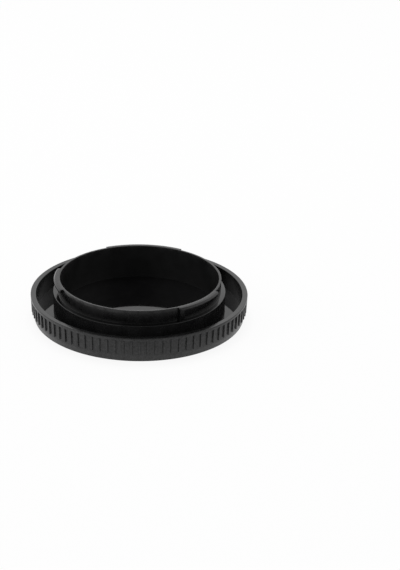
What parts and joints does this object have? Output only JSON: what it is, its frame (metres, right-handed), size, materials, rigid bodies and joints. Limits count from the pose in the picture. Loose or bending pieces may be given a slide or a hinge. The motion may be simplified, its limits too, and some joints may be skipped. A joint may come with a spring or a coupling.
{
  "type": "camera body cap",
  "caption": "Round camera body cap with a ribbed rim, a closed front face and a thin barrel that ends in outward bayonet lugs.",
  "frame": {"origin": "middle of the closed front face, which lies on the table", "axes": "+Z from the front face towards the mount side with the barrel and lugs; +Y towards the middle of the longest lug"},
  "size_m": [0.062, 0.062, 0.0115],
  "materials": {
    "black_plastic": "fine matt grain"
  },
  "bodies": {
    "root": {"body_cap": "black_plastic"}
  },
  "joints": []
}
